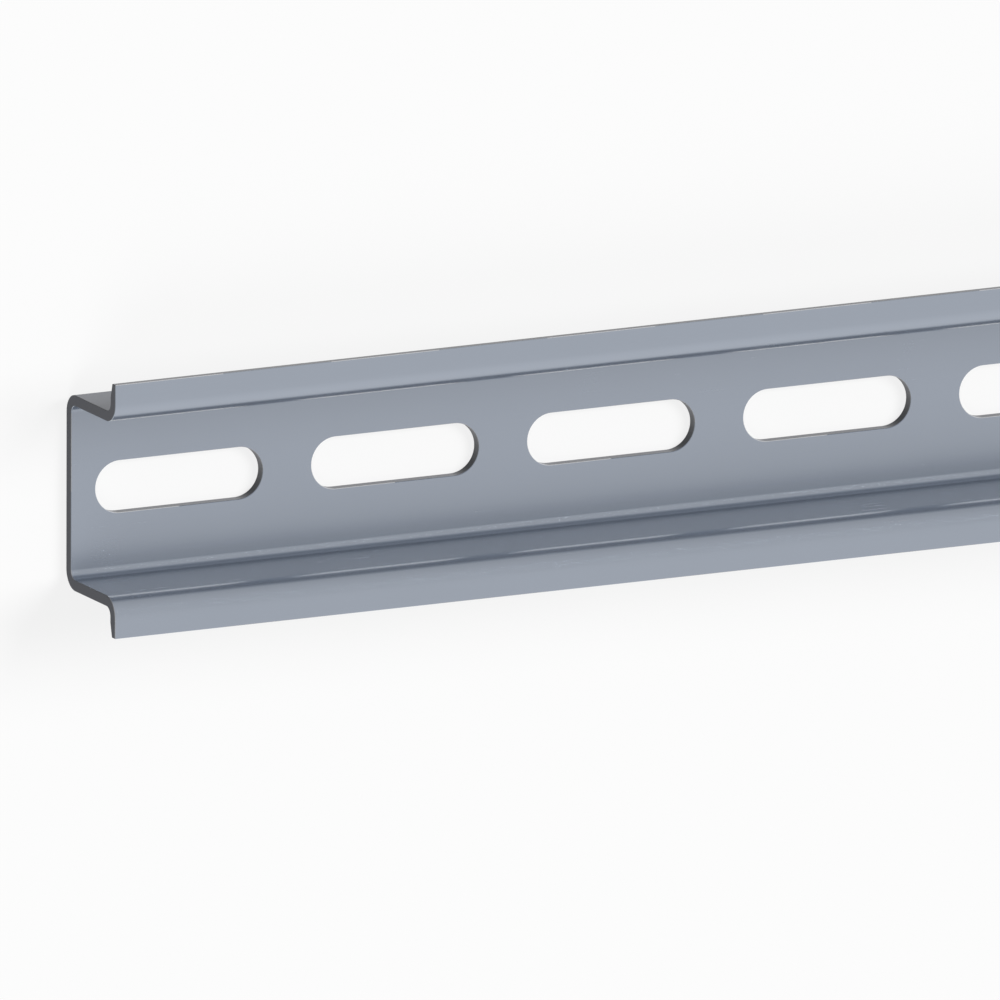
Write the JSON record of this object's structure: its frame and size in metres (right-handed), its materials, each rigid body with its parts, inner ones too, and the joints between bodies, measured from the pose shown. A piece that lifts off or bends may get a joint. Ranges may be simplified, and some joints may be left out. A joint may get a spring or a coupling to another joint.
{
  "type": "din rail",
  "caption": "Slotted top-hat mounting rail of bent sheet steel, plated, for clip-on control-panel devices; screws to a panel through round-ended slots.",
  "frame": {"origin": "middle of the web's back face: centre of the rail's length and width, on the plane that meets the panel", "axes": "+X along the rail, +Y across it, +Z out of the panel, towards the front of the lips"},
  "size_m": [1, 0.035, 0.015],
  "materials": {
    "plated_steel": "satin zinc plating, slightly bluish"
  },
  "bodies": {
    "root": {"rail": "plated_steel"}
  },
  "joints": []
}
